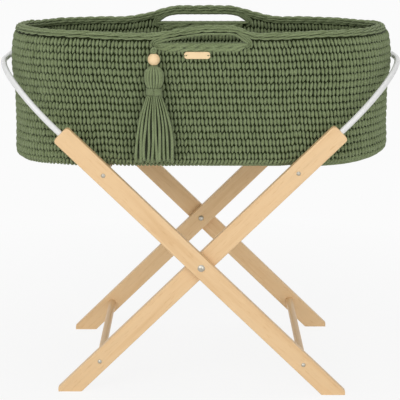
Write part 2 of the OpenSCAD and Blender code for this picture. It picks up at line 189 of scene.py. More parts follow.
class Pile:
    """Gathers points, quads and texture places of many small forms into one mesh."""

    def __init__(self):
        self.points = []
        self.quads = []
        self.places = []
        self.count = 0

    def add(self, points, quads, places):
        self.points.append(points.reshape(-1, 3))
        self.quads.append(quads + self.count)
        self.places.append(places.reshape(-1, 2))
        self.count += len(self.points[-1])

    def build(self, name, material):
        points = np.concatenate(self.points).astype(np.float32)
        quads = np.concatenate(self.quads).astype(np.int32)
        places = np.concatenate(self.places).astype(np.float32)
        mesh = bpy.data.meshes.new(name)
        mesh.vertices.add(len(points))
        mesh.vertices.foreach_set("co", points.ravel())
        mesh.loops.add(quads.size)
        mesh.loops.foreach_set("vertex_index", quads.ravel())
        mesh.polygons.add(len(quads))
        mesh.polygons.foreach_set("loop_start", np.arange(0, quads.size, 4, dtype=np.int32))
        mesh.update(calc_edges=True)
        uv = mesh.uv_layers.new(name=YARN_UV)
        uv.data.foreach_set("uv", places[quads.ravel()].ravel())
        mesh.polygons.foreach_set("use_smooth", np.ones(len(quads), dtype=bool))
        mesh.materials.append(material)
        return link(name, mesh)


def link(name, data):
    """A new object in the scene."""
    obj = bpy.data.objects.new(name, data)
    bpy.context.scene.collection.objects.link(obj)
    return obj


def ring_walls(rings, sides):
    """Quads between the rings of a tube."""
    i = np.arange(rings - 1)[:, None] * sides
    j = np.arange(sides)
    k = (j + 1) % sides
    return np.stack([i + j, i + sides + j, i + sides + k, i + k], -1).reshape(-1, 4)


def ring_quads(rings, sides):
    """Quads of a tube of rings, closed at both ends. The number of sides is even."""
    fan = np.array([[0, m, m + 1, m + 2] for m in range(1, sides - 1, 2)])
    far = fan[:, ::-1] + (rings - 1) * sides
    return np.concatenate([ring_walls(rings, sides), fan, far])


def round_turn(sides):
    """Angles of the sides of a round section."""
    return np.linspace(0, 2 * np.pi, sides, endpoint=False)


def line_up(*coordinates):
    """Points from their coordinates, each a number or an array."""
    return np.stack(np.broadcast_arrays(*coordinates), -1)


def texture_places(steps, turn):
    """Texture places of a tube: the way along it in stitches, and the share of a turn round it."""
    way = np.cumsum(steps) / STITCH
    return line_up(way[:, None], turn / (2 * np.pi))


def unit(vectors):
    """The same directions with a length of 1."""
    return vectors / np.linalg.norm(vectors, axis=1, keepdims=True)


def leaf(a, b, half_w, half_t, depth, sides=6):
    """A closed leaf along the points (a, b): its points [across, along, out], quads and texture places."""
    da, db = np.gradient(a), np.gradient(b)
    size = np.hypot(da, db)
    turn = round_turn(sides)
    side = half_w[:, None] * np.cos(turn)
    across = a[:, None] + side * (db / size)[:, None]
    along = b[:, None] - side * (da / size)[:, None]
    out = depth[:, None] + half_t[:, None] * np.sin(turn)
    points = line_up(across, along, out).reshape(-1, 3)
    return points, ring_quads(len(a), sides), texture_places(size, turn).reshape(-1, 2)


def tube(pile, path, radius, sides=8):
    """A round cord along the path."""
    radius = np.broadcast_to(radius, len(path))
    steps = np.gradient(path, axis=0)
    tangent = unit(steps)
    starts_along_y = abs(tangent[0][1]) > 0.8
    u = unit(np.cross(tangent, [1.0, 0.0, 0.0] if starts_along_y else [0.0, 1.0, 0.0]))
    w = np.cross(tangent, u)
    turn = round_turn(sides)
    ring = np.cos(turn)[None, :, None] * u[:, None] - np.sin(turn)[None, :, None] * w[:, None]
    points = path[:, None] + radius[:, None, None] * ring
    places = texture_places(np.linalg.norm(steps, axis=1), turn)
    pile.add(points, ring_quads(len(path), sides)[:, ::-1], places)


def place(obj, body, slot, *nodes):
    """Puts a piece of the basket or its tassel on a body, and hides the solids that it stands in for."""
    if nodes:
        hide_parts(*nodes)
    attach(obj, body)
    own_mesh(obj)


# Materials

WHITE = (1, 1, 1)


def new_material(name):
    """A material, its node tree and its shader."""
    material = bpy.data.materials.new(name)
    material.use_nodes = True
    return material, material.node_tree, material.node_tree.nodes["Principled BSDF"]


def set_values(node, values):
    """Constant values on a node's own sockets."""
    for key, value in values.items():
        node.inputs[key].default_value = value


def add_node(tree, kind, values=None, **settings):
    """A new node with its settings and the values of its sockets."""
    made = tree.nodes.new(kind)
    for key, value in settings.items():
        setattr(made, key, value)
    set_values(made, values or {})
    return made


def join(tree, source, output, target, entry):
    """Links one node's output to another's input."""
    tree.links.new(source.outputs[output], target.inputs[entry])


def on_object(tree, texture, rotation=(0, 0, 0), stretch=(1, 1, 1)):
    """Lays a texture in object coordinates, turned to the rotation and stretched along its axes."""
    where = add_node(tree, "ShaderNodeTexCoord")
    values = {"Rotation": rotation, "Scale": stretch}
    turned = add_node(tree, "ShaderNodeMapping", values, vector_type="TEXTURE")
    join(tree, where, "Object", turned, "Vector")
    join(tree, turned, "Vector", texture, "Vector")
    return texture


def noise(tree, values, *turned):
    """Noise in object coordinates, which may be turned and stretched."""
    return on_object(tree, add_node(tree, "ShaderNodeTexNoise", values), *turned)


def ramp(tree, source, stops):
    """Colours that follow a texture: each stop is a value of the texture and its colour."""
    made = add_node(tree, "ShaderNodeValToRGB")
    elements = made.color_ramp.elements
    for index in (0, -1):
        position, colour = stops[index]
        elements[index].position = position
        elements[index].color = (*colour, 1)
    for position, colour in stops[1:-1]:
        elements.new(position).color = (*colour, 1)
    join(tree, source, "Fac", made, "Fac")
    return made


def dimmed(colour, share):
    """A share of the colour's brightness."""
    return tuple(share * c for c in colour)


def multiply(tree, tone, shade, share):
    """A tone that is darkened by a share of the shade."""
    made = add_node(tree, "ShaderNodeMix", {"Factor": share}, data_type="RGBA", blend_type="MULTIPLY")
    join(tree, tone, "Color", made, "A")
    join(tree, shade, "Color", made, "B")
    return made


def tint(tree, bsdf, source, stops):
    """Colour of the surface that follows a texture."""
    join(tree, ramp(tree, source, stops), "Color", bsdf, "Base Color")


def vary_gloss(tree, bsdf, source, low, high):
    """Roughness that follows a texture."""
    made = add_node(tree, "ShaderNodeMapRange", {"To Min": low, "To Max": high})
    join(tree, source, "Fac", made, "Value")
    join(tree, made, "Result", bsdf, "Roughness")


def bump(tree, bsdf, source, strength, distance, after=None):
    """Fine relief that follows a texture, on top of an earlier relief if there is one."""
    made = add_node(tree, "ShaderNodeBump", {"Strength": strength, "Distance": distance})
    join(tree, source, "Fac", made, "Height")
    if after:
        join(tree, after, "Normal", made, "Normal")
    join(tree, made, "Normal", bsdf, "Normal")
    return made


def wood_material(name, rotation, pale, dark, roughness):
    """Wood with grain along the X axis of the rotation."""
    material, tree, bsdf = new_material(name)
    grain = noise(tree, {"Scale": 60, "Detail": 5, "Distortion": 0.5}, rotation, (14, 1, 1))
    tone = ramp(tree, grain, [(0.30, dark), (0.52, pale), (0.75, dimmed(pale, 0.94))])
    fleck = noise(tree, {"Scale": 420, "Detail": 2}, rotation, (9, 1, 1))
    fleck_tone = ramp(tree, fleck, [(0.60, WHITE), (0.72, (0.80, 0.70, 0.58))])
    join(tree, multiply(tree, tone, fleck_tone, 0.45), "Result", bsdf, "Base Color")
    set_values(bsdf, {"Roughness": roughness})
    bump(tree, bsdf, fleck, 0.12, 0.0004)
    return material


def yarn_material(name, pale, dark):
    """Thick cotton cord: twisted strands along each lobe, with painted shade in the grooves between them,
    and a soft change of tone.
    """
    material, tree, bsdf = new_material(name)
    patch = noise(tree, {"Scale": 55, "Detail": 4, "Roughness": 0.65})
    tone = ramp(tree, patch, [(0.32, dark), (0.68, pale)])
    twist = {"Scale": 1.6, "Distortion": 2.2, "Detail": 2, "Detail Scale": 1.4}
    strand = add_node(tree, "ShaderNodeTexWave", twist, bands_direction="DIAGONAL")
    join(tree, add_node(tree, "ShaderNodeUVMap", uv_map=YARN_UV), "UV", strand, "Vector")
    # Painted shade: the colour is darkened in the grooves between the twisted strands
    groove_shade = ramp(tree, strand, [(0.0, (0.72, 0.72, 0.70)), (0.45, WHITE)])
    join(tree, multiply(tree, tone, groove_shade, 0.55), "Result", bsdf, "Base Color")
    set_values(bsdf, {"Roughness": 0.92, "Specular IOR Level": 0.2})
    set_values(bsdf, {"Sheen Weight": 0.12, "Sheen Roughness": 0.6})
    fuzz = noise(tree, {"Scale": 1100, "Detail": 2})
    first = bump(tree, bsdf, strand, 0.5, 0.0006)
    bump(tree, bsdf, fuzz, 0.3, 0.0003, first)
    return material


def lacquer_material(name, colour):
    """Sprayed gloss paint with a faint orange peel and a little dust in its gloss."""
    material, tree, bsdf = new_material(name)
    peel = noise(tree, {"Scale": 320, "Detail": 2})
    haze = noise(tree, {"Scale": 24, "Detail": 3})
    vary_gloss(tree, bsdf, haze, 0.20, 0.34)
    tint(tree, bsdf, haze, [(0.3, dimmed(colour, 0.97)), (0.7, colour)])
    set_values(bsdf, {"Coat Weight": 0.3})
    bump(tree, bsdf, peel, 0.05, 0.0002)
    return material


def steel_material(name, pale, dark):
    """Zinc-plated steel, lightly scratched."""
    material, tree, bsdf = new_material(name)
    scratch = noise(tree, {"Scale": 700, "Detail": 3}, (0.6, 0.3, 0), (6, 1, 1))
    vary_gloss(tree, bsdf, scratch, 0.22, 0.45)
    tint(tree, bsdf, scratch, [(0.3, dark), (0.7, pale)])
    set_values(bsdf, {"Metallic": 1.0})
    bump(tree, bsdf, scratch, 0.08, 0.0001)
    return material


def webbing_material(name, colour):
    """Flat cotton webbing, woven in fine diagonal ribs."""
    material, tree, bsdf = new_material(name)
    rib = add_node(tree, "ShaderNodeTexWave", {"Scale": 90, "Distortion": 0.6}, bands_direction="DIAGONAL")
    on_object(tree, rib)
    cross = add_node(tree, "ShaderNodeTexWave", {"Scale": 160, "Distortion": 0.4}, bands_direction="Y")
    on_object(tree, cross)
    tint(tree, bsdf, rib, [(0.0, dimmed(colour, 0.80)), (0.6, colour)])
    set_values(bsdf, {"Roughness": 0.9, "Sheen Weight": 0.2})
    first = bump(tree, bsdf, rib, 0.5, 0.0005)
    bump(tree, bsdf, cross, 0.3, 0.0003, first)
    return material


def nylon_material(name, colour):
    """Matt moulded plastic with a fine grain."""
    material, tree, bsdf = new_material(name)
    grain = noise(tree, {"Scale": 500, "Detail": 2})
    tint(tree, bsdf, grain, [(0.3, dimmed(colour, 0.94)), (0.7, colour)])
    set_values(bsdf, {"Roughness": 0.5})
    bump(tree, bsdf, grain, 0.1, 0.0002)
    return material


BEECH = ((0.770, 0.530, 0.288), (0.700, 0.457, 0.231), 0.42)
beech_inner = wood_material("beech_inner", (0, -LEG_ANGLE, 0), *BEECH)
beech_outer = wood_material("beech_outer", (0, LEG_ANGLE, 0), *BEECH)
beech_dowel = wood_material("beech_dowel", (0, 0, math.pi / 2), *BEECH)
maple = wood_material("pale_maple", (0, 0, 0), (0.84, 0.625, 0.365), (0.76, 0.54, 0.29), 0.6)
yarn = yarn_material("green_yarn", (0.228, 0.279, 0.142), (0.180, 0.223, 0.104))
# Painted shade: a near-black green yarn for pieces put where only shade is seen, behind and between the
# stitches, inside the rim and inside the tassel
yarn_painted_shade = yarn_material("green_yarn_painted_shade", (0.030, 0.044, 0.010), (0.020, 0.030, 0.006))
lacquer = lacquer_material("white_lacquer", (0.74, 0.74, 0.735))
steel = steel_material("plated_steel", (0.56, 0.53, 0.46), (0.42, 0.40, 0.34))
webbing = webbing_material("cream_webbing", (0.74, 0.68, 0.56))
thread = webbing_material("cream_thread", (0.80, 0.76, 0.66))
nylon = nylon_material("white_nylon", (0.78, 0.78, 0.74))


def dress(look, *names):
    """Gives its material to each solid that is shown as it is."""
    for name in names:
        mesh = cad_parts[name].data
        mesh.materials.clear()
        mesh.materials.append(look)


for side in ("front", "back"):
    dress(beech_outer, f"outer_leg_{side}")
    dress(beech_inner, f"inner_leg_{side}")
    dress(steel, f"pivot_bolt_{side}", f"pivot_nut_{side}")
    dress(nylon, f"pivot_washer_{side}")
for half in ("outer", "inner"):
    dress(lacquer, f"{half}_rail")
    dress(beech_dowel, f"{half}_upper_dowel", f"{half}_lower_dowel")
    dress(steel, f"{half}_upper_screws", f"{half}_lower_screws")


# Surfaces of the basket


def part_way(value, start, end):
    """How far a value has come from the start to the end, between 0 and 1."""
    return np.clip((value - start) / (end - start), 0, 1)


def hump(x, height, places):
    """A smooth hump along X, from the places where it starts, comes level, leaves level and ends."""
    start, level, leave, end = places
    run = np.maximum(part_way(x, level, start), part_way(x, leave, end))
    return height * (1 + np.cos(np.pi * run)) / 2


def rise(x, y):
    """How far a handle stands up over the rim."""
    return np.where(y < 0, hump(x, *FRONT_HANDLE), hump(x, *BACK_HANDLE))


def sag(x, y):
    """How far the rim has settled: along the front, and on both sides of the back handle."""
    return np.where(y < 0, hump(x, *FRONT_SAG), hump(np.abs(x), *BACK_SAG))


def edge_sag(x, r):
    """How far the base hangs at a distance r from its middle line, where no strap carries it."""
    carried = np.exp(-(((np.abs(x) - DOWEL_X) / DOWEL_NEAR) ** 2))
    at_end = np.sign(x) * part_way(np.abs(x), *END_SPAN)
    hang = EDGE_SAG * (1 - DOWEL_TAKES * carried) - END_HANG * at_end
    return hang * part_way(r, *EDGE_SPAN)


def lean(z):
    """How far a round end of the basket stands in at a height."""
    over = np.maximum(0, z - BELLY_H) / (BASKET_H - BELLY_H)
    under = part_way(z, *WAIST_SPAN)
    foot = part_way(z, FLARE_H, 0)
    return END_LEAN * over**2 + WAIST * under**2 * (3 - 2 * under) - FLARE * foot


def plan(share, r):
    """Middle along X and outward direction, a share of the way round the plan at a distance r from it."""
    arc = np.pi * r
    way = (share % 1.0) * (4 * STRAIGHT + 2 * arc)
    right_turn = (way - 2 * STRAIGHT) / r
    left_turn = (way - 4 * STRAIGHT - arc) / r
    spans = [way < 2 * STRAIGHT, way < 2 * STRAIGHT + arc, way < 4 * STRAIGHT + arc]
    x = np.select(spans, [way - STRAIGHT, STRAIGHT, 3 * STRAIGHT + arc - way], -STRAIGHT)
    nx = np.select(spans, [0.0, np.sin(right_turn), 0.0], -np.sin(left_turn))
    ny = np.select(spans, [-1.0, -np.cos(right_turn), 1.0], np.cos(left_turn))
    return x, nx, ny


def toe_turn(v):
    """How far the round toe has turned up at a way v up the wall."""
    return np.clip(v / TOE_R, 0, np.pi / 2)


def wall_radius(v):
    """Distance from the middle line at a way v up the wall, which starts at the edge of the base."""
    return HALF_W - TOE_R + TOE_R * np.sin(toe_turn(v)) + np.minimum(v, 0)


def wall_point(share, v, out):
    """A point of the wall or base, out from its outer face."""
    turn = toe_turn(v)
    r = np.maximum(wall_radius(v), LEAST_R)
    z = TOE_R - TOE_R * np.cos(turn) + np.maximum(v - TOE_ARC, 0) - out * np.cos(turn)
    middle, nx, ny = plan(share, r)
    x = middle * (1 - lean(z) / STRAIGHT) + (r + out * np.sin(turn)) * nx
    y = (r + out * np.sin(turn)) * ny
    lift = part_way(z, *LIFT_SPAN)
    up = part_way(z, 0, BASKET_H)
    settled = up * sag(x, y) + (1 - up) * edge_sag(x, r)
    return line_up(x, y, z + lift * rise(x, y) - settled + BASE_Z)


def before_sag(points):
    """X and Y of points of the wall, and their height over the base before the rim settled."""
    x, y, z = points.T
    return x, y, z - BASE_Z + sag(x, y)


def rim_point(share, turn, out):
    """A point of the rim's edging, a turn round its section, out from its face."""
    middle, nx, ny = plan(share, WALL_MIDDLE)
    r = WALL_MIDDLE + (RIM_W / 2 + out) * np.cos(turn)
    z = BASKET_H - RIM_H / 2 + (RIM_H / 2 + out) * np.sin(turn)
    x = middle * (1 - lean(z) / STRAIGHT) + r * nx - np.where(nx < 0, *RIM_INSET) * nx**3
    return line_up(x, r * ny, z + rise(x, ny) - sag(x, ny) + BASE_Z)


def slot_path(side, steps=240, smoothing=3):
    """Points round a handle's slot and the direction into it, in X and Z, and the way round it."""
    start, end = SLOT_ENDS[side]
    x = np.linspace(start, end, steps // 3)
    top = BASKET_H + rise(x, side) - sag(x, side) - RIM_H + SLOT_IN_RIM
    floor = SLOT_FLOOR - sag(x, side) - SLOT_SINK[side]
    inside = part_way(np.minimum(x - start, end - x), 0, SLOT_TAPER)
    top = floor + (top - floor) * (SLOT_END_SHARE + (1 - SLOT_END_SHARE) * np.sin(np.pi / 2 * inside))
    loop = np.concatenate([line_up(x[::-1], floor), line_up(x, top)])
    loop = np.concatenate([loop, loop[:1]])
    way = np.concatenate([[0], np.cumsum(np.linalg.norm(np.diff(loop, axis=0), axis=1))])
    even = np.linspace(0, way[-1], steps, endpoint=False)
    points = line_up(np.interp(even, way, loop[:, 0]), np.interp(even, way, loop[:, 1]))
    for _ in range(smoothing):
        points = (np.roll(points, 1, 0) + 2 * points + np.roll(points, -1, 0)) / 4
    tangent = unit(np.roll(points, -1, 0) - np.roll(points, 1, 0))
    return points, line_up(tangent[:, 1], -tangent[:, 0]), way[-1]


SLOTS = {side: slot_path(side) for side in (-1, 1)}


def in_slot_ends(x, y, spare):
    """Whether places lie between the ends of the slot on their side of the basket."""
    low, high = (np.where(y < 0, front, back) for front, back in zip(SLOT_ENDS[-1], SLOT_ENDS[1]))
    return (x > low - spare) & (x < high + spare)


def slot_corner(side, share):
    """Whether shares of the way round a slot lie over one of its ends."""
    points = SLOTS[side][0]
    x, z = points[(share % 1.0 * len(points)).astype(int)].T
    start, end = SLOT_ENDS[side]
    return (np.minimum(x - start, end - x) < CORNER_L) & (z > SLOT_FLOOR - sag(x, side) + CORNER_H)


def slot_point(side, share, turn, out, shift):
    """A point of the edging round a slot, or of stitches shifted out from it."""
    points, inwards, _ = SLOTS[side]
    steps = len(points)
    at = (share % 1.0) * steps
    low = np.floor(at).astype(int) % steps
    part = (at - np.floor(at))[..., None]
    spot = points[low] * (1 - part) + points[(low + 1) % steps] * part
    inward = inwards[low] * (1 - part) + inwards[(low + 1) % steps] * part
    edge = spot + inward * ((SLOT_EDGE_H + out) * np.cos(turn) - shift)[..., None]
    r = WALL_MIDDLE + (SLOT_EDGE_W + out) * np.sin(turn)
    return line_up(edge[..., 0], side * r, edge[..., 1] + BASE_Z)


# Crochet


def v_stitch(rings):
    """Two plump leaves side by side; the left one leans out more than the right one."""
    t = np.linspace(0, 1, rings)
    swell = np.sin(np.pi * (0.03 + 0.94 * t))
    b = LEAF_L * (t - 0.5)
    half_w = LEAF_W * swell**0.85
    half_t = LEAF_T * swell**0.8
    depth = -LEAF_T - LEAF_FOOT_DIVE * (1 - t) ** 3 - LEAF_HEAD_DIVE * t**4
    left = leaf(-STITCH * (0.190 + 0.115 * t), b, half_w, half_t, depth)
    right = leaf(STITCH * (0.215 + 0.075 * t), b, half_w, half_t, depth)
    return (
        np.concatenate([left[0], right[0]]),
        np.concatenate([left[1], right[1] + len(left[0])]),
        np.concatenate([left[2], right[2]]),
    )


def chain_stitch(rings, length, width, thick, slant, dive):
    """One long leaf that lies along an edge, leans a little across it and dives in at its ends."""
    t = np.linspace(0, 1, rings)
    swell = np.sin(np.pi * (0.06 + 0.88 * t))
    a = length * (t - 0.5)
    b = slant * (t - 0.5)
    depth = -0.4 * thick - dive * (2 * t - 1) ** 2
    return leaf(a, b, width / 2 * swell**0.5, thick / 2 * swell**0.45, depth)


def repeat(pile, form, where, count):
    """Adds the form once for every copy: where gives the points of all copies from across, along and out."""
    points, quads, places = form
    step = np.arange(count)[:, None, None] * len(points)
    pile.add(where(*points.T), (quads[None] + step).reshape(-1, 4), np.tile(places, (count, 1)))


def turned_over(form):
    """The same form with its faces turned, for the side of the wall where it is seen mirrored."""
    points, quads, places = form
    return points, quads[:, ::-1], places


def stretch(share, r):
    """How much wider than on the long sides a stitch is, where the round ends pull it."""
    return 1 + END_STRETCH * plan(share, r)[1] ** 2


def stitch_shares(around, r, shift):
    """Places of one round's stitches, further apart at the round ends."""
    way = np.linspace(0, 1, 1201)
    tally = np.concatenate([[0], np.cumsum(1 / stretch((way[1:] + way[:-1]) / 2, r))])
    count = max(8, round(around * tally[-1] / (len(way) - 1) / STITCH))
    step = (np.arange(count) + shift + rng.normal(0, UNEVEN_PLACE, count)) / count
    return np.interp(step % 1.0 * tally[-1], tally, way)


def crochet_row(pile, form, v, number, inside):
    """One round of stitches at a way v up the wall, which leaves the slots open."""
    r = wall_radius(v)
    around = 4 * STRAIGHT + 2 * np.pi * r
    share = stitch_shares(around, r, ROUND_SHIFT * number)
    x, y, z = before_sag(wall_point(share, v, 0))
    in_slot = in_slot_ends(x, y, SLOT_SPARE) & (z > SLOT_FLOOR - SLOT_LIP) & (v > TOE_ARC)
    share = share[~in_slot]
    count = len(share)
    size = 1 + rng.normal(0, UNEVEN_SIZE, count)[:, None]
    wide = stretch(share, r)[:, None] ** 0.85
    tilt = rng.normal(0, UNEVEN_TILT, count)[:, None]
    sink = np.abs(rng.normal(0, UNEVEN_DEPTH, count))[:, None]

    def where(a, b, out):
        across = a * size * wide + b * tilt
        along = b * size - a * tilt
        out = out - sink
        if inside:
            out = -WALL_T - out
        return wall_point(share[:, None] + across / around, v + along, out)

    repeat(pile, turned_over(form) if inside else form, where, count)


def crochet(name, v_low, v_high, rings, inside):
    """Rounds of stitches that fill a stretch of the wall or base."""
    pile = Pile()
    form = v_stitch(rings)
    rounds = round((v_high - v_low) / ROW)
    for number in range(rounds):
        v = v_low + (v_high - v_low) * (number + 0.5) / rounds
        crochet_row(pile, form, v, number, inside)
    return pile.build(name, yarn)


def painted_shade_sheet():
    """A sheet of painted shade behind the stitches, open at the slots: dark yarn where only shade is seen
    between them.
    """
    fine_from = WALL_TOP_V - 0.03
    low_v = np.linspace(MIDDLE_V, fine_from, 80)
    high_v = np.linspace(fine_from, WALL_TOP_V + 0.004, 40)[1:]
    share, v = np.meshgrid(np.linspace(0, 1, 481), np.concatenate([low_v, high_v]))
    points = wall_point(share, v, -WALL_T / 2)
    rows, columns = share.shape
    corner = (np.arange(rows - 1)[:, None] * columns + np.arange(columns - 1)).ravel()
    quads = np.stack([corner, corner + 1, corner + columns + 1, corner + columns], -1)
    x, y, z = before_sag(points.reshape(-1, 3)[quads].mean(1))
    under_rim = z < BASKET_H + rise(x, y) - RIM_H
    open_slot = in_slot_ends(x, y, -SHADE_SHEET_IN_SLOT) & (z > SLOT_FLOOR) & under_rim
    pile = Pile()
    pile.add(points, quads[~open_slot], line_up(share, v))
    return pile.build("basket_painted_shade_sheet", yarn_painted_shade)


def rim_cords():
    """Long stitches that lie along the rim in thick cords, over a core of painted shade."""
    pile = Pile()
    around = 4 * STRAIGHT + 2 * np.pi * WALL_MIDDLE
    count = round(around / RIM_STITCH)
    form = chain_stitch(rings=11, length=0.042, width=0.0062, thick=0.0076, slant=0.0078, dive=0.0036)
    for row in range(RIM_CORDS):
        angle = math.radians(RIM_FIRST_ANGLE + RIM_ANGLE_STEP * row)
        share = (np.arange(count) + RIM_SHIFT * row + rng.normal(0, UNEVEN_RIM_PLACE, count)) / count
        turn = angle + rng.normal(0, UNEVEN_RIM_ANGLE, count)
        proud = rng.normal(RIM_PROUD, UNEVEN_RIM_PROUD, count)

        def where(a, b, out):
            at = share[:, None] + a / around
            return rim_point(at, turn[:, None] + b / (RIM_W / 2), out + proud[:, None])

        repeat(pile, form, where, count)
    return pile.build("rim_cords", yarn)


def rim_core(rings=361, sides=12):
    """The middle of the rim in painted shade: the dark yarn seen between its cords."""
    pile = Pile()
    share, turn = np.meshgrid(np.linspace(0, 1, rings), round_turn(sides), indexing="ij")
    core = rim_point(share, turn, -RIM_CORE_SUNK)
    twists = 130
    pile.add(core, ring_quads(rings, sides), line_up(share * twists, turn / (2 * np.pi)))
    return pile.build("rim_core", yarn_painted_shade)


def slot_edging(pile):
    """Chain stitches round the two slots, and more of them in the corners over the slots' ends."""
    form = chain_stitch(rings=9, length=0.026, width=0.0078, thick=0.0056, slant=0.0040, dive=0.0012)
    for side in (-1, 1):
        around = SLOTS[side][2]
        count = round(around / STITCH)
        facing = form if side < 0 else turned_over(form)
        for row, degrees in enumerate(SLOT_CORD_ANGLES):
            angle = math.radians(degrees)
            share = (np.arange(count) + 0.5 * row) / count
            in_corner = share[slot_corner(side, share)]
            for shift, chosen in ((0, share), *((fill, in_corner) for fill in SLOT_FILL)):

                def where(a, b, out):
                    at = chosen[:, None] + a / around
                    return slot_point(side, at, angle + b / SLOT_EDGE_R, out, shift)

                repeat(pile, facing, where, len(chosen))


def slot_bands(pile):
    """Two thick cords under each slot, outside and inside, that sink into the wall at their ends."""
    count = BAND_STITCHES
    form = chain_stitch(rings=13, length=0.038, width=0.0078, thick=0.0084, slant=0.0080, dive=0.0036)
    for side in (-1, 1):
        for face in (-1, 1):
            facing = form if side * face < 0 else turned_over(form)
            for drop, shift, end_rise in BANDS:
                start = SLOT_L * ((np.arange(count) + shift) / count - 0.5)
                start = start + rng.normal(0, UNEVEN_BAND, count)

                def where(a, b, out):
                    x = np.clip(start[:, None] + a, -BAND_END, BAND_END)
                    tuck = part_way(np.abs(x), BAND_TUCK_FROM, BAND_END)
                    out = out + BAND_PROUD - BAND_TUCK * tuck**2
                    y = side * (WALL_MIDDLE + face * (WALL_T / 2 + out))
                    floor_z = BASE_Z + SLOT_FLOOR - sag(x, side)
                    return line_up(x, y, floor_z - drop + b + end_rise * tuck)

                repeat(pile, facing, where, count)


def handle_cords():
    """The cords round and under both slots."""
    pile = Pile()
    slot_edging(pile)
    slot_bands(pile)
    return pile.build("handle_cords", yarn)


place(crochet("crochet_wall", 0, WALL_TOP_V, rings=9, inside=False), "basket", "crochet_yarn", "basket_wall")
place(crochet("crochet_lining", 0, WALL_TOP_V, rings=5, inside=True), "basket", "crochet_yarn")
place(crochet("crochet_base", MIDDLE_V, 0, rings=5, inside=False), "basket", "crochet_yarn", "basket_base")
place(crochet("crochet_floor", MIDDLE_V, 0, rings=5, inside=True), "basket", "crochet_yarn")
place(painted_shade_sheet(), "basket", "crochet_yarn")
place(rim_cords(), "basket", "crochet_yarn", "rim_edging")
place(rim_core(), "basket", "crochet_yarn")
place(handle_cords(), "basket", "crochet_yarn")


# Tag

TAG_LOW, TAG_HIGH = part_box("blank_tag")
TAG_CENTRE = (TAG_LOW + TAG_HIGH) / 2
TAG_SIZE = TAG_HIGH - TAG_LOW
TAG_CORNER = 0.0058
TAG_SOFT = 0.0006
TAG_HOLE_R = 0.0012
TAG_HOLE_X = TAG_SIZE[0] / 2 - TAG_CORNER
# Threads through each hole: their radius and levels, and how far they go over the tag's end and bow out
TAG_THREAD_R = 0.0006
TAG_THREAD_LEVELS = (-0.0004, 0.0004)
TAG_THREAD_OVER = 0.0016
TAG_THREAD_BOW = 0.0011
# How deep their ends go into the hole and into the wall
TAG_THREAD_IN_HOLE = 0.002
TAG_THREAD_IN_WALL = 0.003


def spline(curve, points):
    """Adds a closed outline to a flat curve."""
    line = curve.splines.new("POLY")
    line.points.add(len(points) - 1)
    for point, (x, y) in zip(line.points, points):
        point.co = (x, y, 0, 1)
    line.use_cyclic_u = True


def wooden_tag():
    """A thin plate with round corners, soft edges and two sewing holes."""
    straight_l = TAG_SIZE[0] / 2 - TAG_SOFT - TAG_CORNER
    straight_h = TAG_SIZE[2] / 2 - TAG_SOFT - TAG_CORNER
    angles = np.radians(np.arange(0, 360, 10))
    within = 0.01
    outline = [
        (
            math.copysign(straight_l, math.cos(a + within)) + TAG_CORNER * math.cos(a),
            math.copysign(straight_h, math.sin(a + within)) + TAG_CORNER * math.sin(a),
        )
        for a in angles
    ]
    curve = bpy.data.curves.new("blank_tag_outline", "CURVE")
    curve.dimensions = "2D"
    curve.fill_mode = "BOTH"
    curve.extrude = TAG_SIZE[1] / 2 - TAG_SOFT
    curve.bevel_depth = TAG_SOFT
    curve.bevel_resolution = 2
    spline(curve, outline)
    hole = TAG_HOLE_R * line_up(np.cos(angles[::3]), np.sin(angles[::3]))
    for side in (-1, 1):
        spline(curve, hole + [side * TAG_HOLE_X, 0])
    shaper = link("blank_tag_shaper", curve)
    shaper.rotation_euler = (math.pi / 2, 0, 0)
    shaper.location = TAG_CENTRE
    bpy.context.view_layer.update()
    mesh = bpy.data.meshes.new_from_object(shaper.evaluated_get(bpy.context.evaluated_depsgraph_get()))
    mesh.transform(shaper.matrix_world)
    bpy.data.objects.remove(shaper)
    mesh.materials.clear()
    mesh.materials.append(maple)
    return link("wooden_tag", mesh)


def tag_stitches():
    """Two threads from each hole to the tag's end, where they go into the wall."""
    pile = Pile()
    t = np.linspace(0, 1, 9)
    y = TAG_LOW[1] - TAG_THREAD_BOW * np.sin(np.pi * t) ** 0.5
    y[0] += TAG_THREAD_IN_HOLE
    y[-1] += TAG_THREAD_IN_WALL
    out = np.linspace(TAG_HOLE_X, TAG_SIZE[0] / 2 + TAG_THREAD_OVER, len(t))
    for side in (-1, 1):
        for level in TAG_THREAD_LEVELS:
            path = line_up(TAG_CENTRE[0] + side * out, y, TAG_CENTRE[2] + level)
            tube(pile, path, TAG_THREAD_R, 6)
    return pile.build("tag_stitches", yarn)


place(wooden_tag(), "basket", "pale_wood", "blank_tag")
place(tag_stitches(), "basket", "crochet_yarn")


# Tassel

HEAD_LOW, HEAD_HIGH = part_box("tassel_head")
SKIRT_LOW, SKIRT_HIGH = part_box("tassel_skirt")
WRAP_LOW, WRAP_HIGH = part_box("tassel_wrap")
BEAD_LOW, BEAD_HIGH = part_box("tassel_bead")
PEG_LOW, PEG_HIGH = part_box("tassel_peg")
TASSEL_X, TASSEL_Y, BEAD_Z = (BEAD_LOW + BEAD_HIGH) / 2
PEG_Z = (PEG_LOW[2] + PEG_HIGH[2]) / 2
CORD_R = 0.002
EYE_R = 0.0043
BEAD_BORE_R = 0.0025
BEAD_SIDES = 48
WRAP_TURNS = 5
WRAP_R = 0.00134
HEAD_CORDS = 18
HEAD_CORD_R = 0.0025
HEAD_SWAY = 0.02
CORE_CORDS = 14
SKIRT_CORDS = 10
# Shares of the way down from the head's top to the binding, and of the head's width there
HEAD_DOWN = (0, 0.05, 0.18, 0.4, 0.65, 0.85, 1.0, 1.06, 1.38)
HEAD_WIDE = (0.15, 0.32, 0.66, 0.87, 0.88, 0.78, 0.62, 0.55, 0.52)
